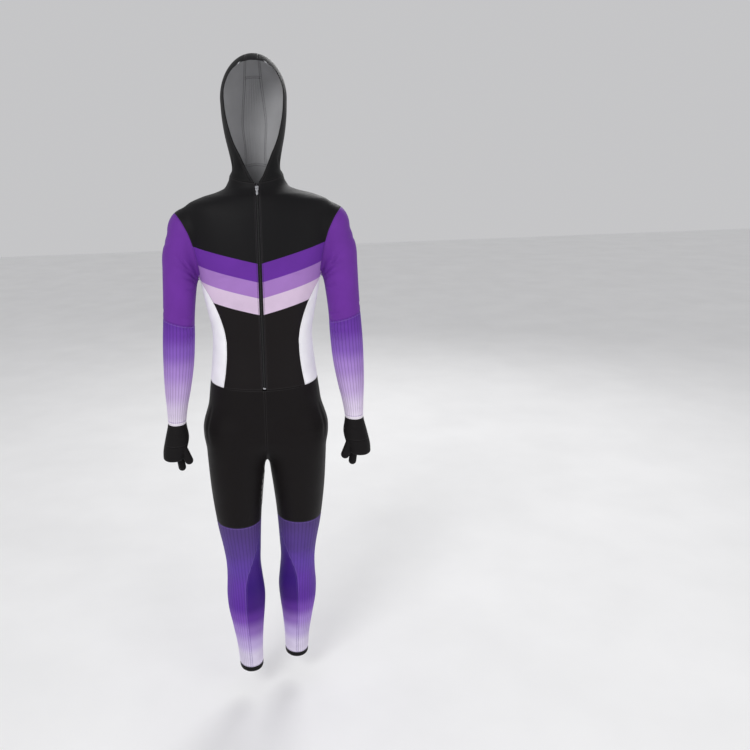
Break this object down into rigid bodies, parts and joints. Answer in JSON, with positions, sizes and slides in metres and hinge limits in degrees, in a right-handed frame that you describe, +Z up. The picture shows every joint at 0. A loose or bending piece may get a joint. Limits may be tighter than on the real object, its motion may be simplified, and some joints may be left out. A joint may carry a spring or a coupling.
{
  "type": "speed skating suit",
  "caption": "Hooded one-piece racing suit with a front zip, joined gloves, a chevron chest, fading lower legs and a thigh patch, in the hollow form that it has when worn.",
  "frame": {"origin": "centre of the neck's base, on the body's upright axis, level with the tops of the shoulders", "axes": "+Z up, front facing -Y, +X towards the wearer's left"},
  "size_m": [0.5636, 0.2401, 1.7275],
  "materials": {
    "black_knit": "matte",
    "ribbed_knit": "matte",
    "white_knit": "satin",
    "purple_knit": "satin",
    "fading_knit": "satin",
    "patch_film": "satin",
    "zip_tape": "matte",
    "zip_metal": "satin"
  },
  "bodies": {
    "suit": {"front_right": "black_knit", "side_panel_right": "white_knit", "back_side_right": "ribbed_knit", "shorts_front_right": "black_knit", "shorts_back_right": "black_knit", "leg_inner_right": "fading_knit", "leg_outer_right": "fading_knit", "leg_hem_right": "black_knit", "sleeve_right": "purple_knit", "forearm_right": "fading_knit", "cuff_right": "white_knit", "glove_palm_right": "black_knit", "glove_fingers_right": "black_knit", "glove_thumb_right": "black_knit", "glove_finger_right": "black_knit", "hood_side_right": "black_knit", "hood_binding_right": "black_knit", "zip_tape_right": "zip_tape", "front_left": "black_knit", "side_panel_left": "white_knit", "back_side_left": "ribbed_knit", "shorts_front_left": "black_knit", "shorts_back_left": "black_knit", "leg_inner_left": "fading_knit", "leg_outer_left": "fading_knit", "leg_hem_left": "black_knit", "sleeve_left": "purple_knit", "forearm_left": "fading_knit", "cuff_left": "white_knit", "glove_palm_left": "black_knit", "glove_fingers_left": "black_knit", "glove_thumb_left": "black_knit", "glove_finger_left": "black_knit", "hood_side_left": "black_knit", "hood_binding_left": "black_knit", "zip_tape_left": "zip_tape", "back_centre": "black_knit", "hood_back": "ribbed_knit", "hood_crown": "black_knit", "thigh_patch_right": "patch_film", "zip_slider": "zip_metal", "zip_stop": "zip_metal"},
    "zip_pull": {"zip_pull": "zip_metal"}
  },
  "joints": [
    {"name": "pull_hinge", "type": "hinge", "parent": "suit", "child": "zip_pull", "pos_m": [0, -0.07219, 0.01219], "axis": [-1, 0, 0], "range_deg": [0, 150]}
  ]
}
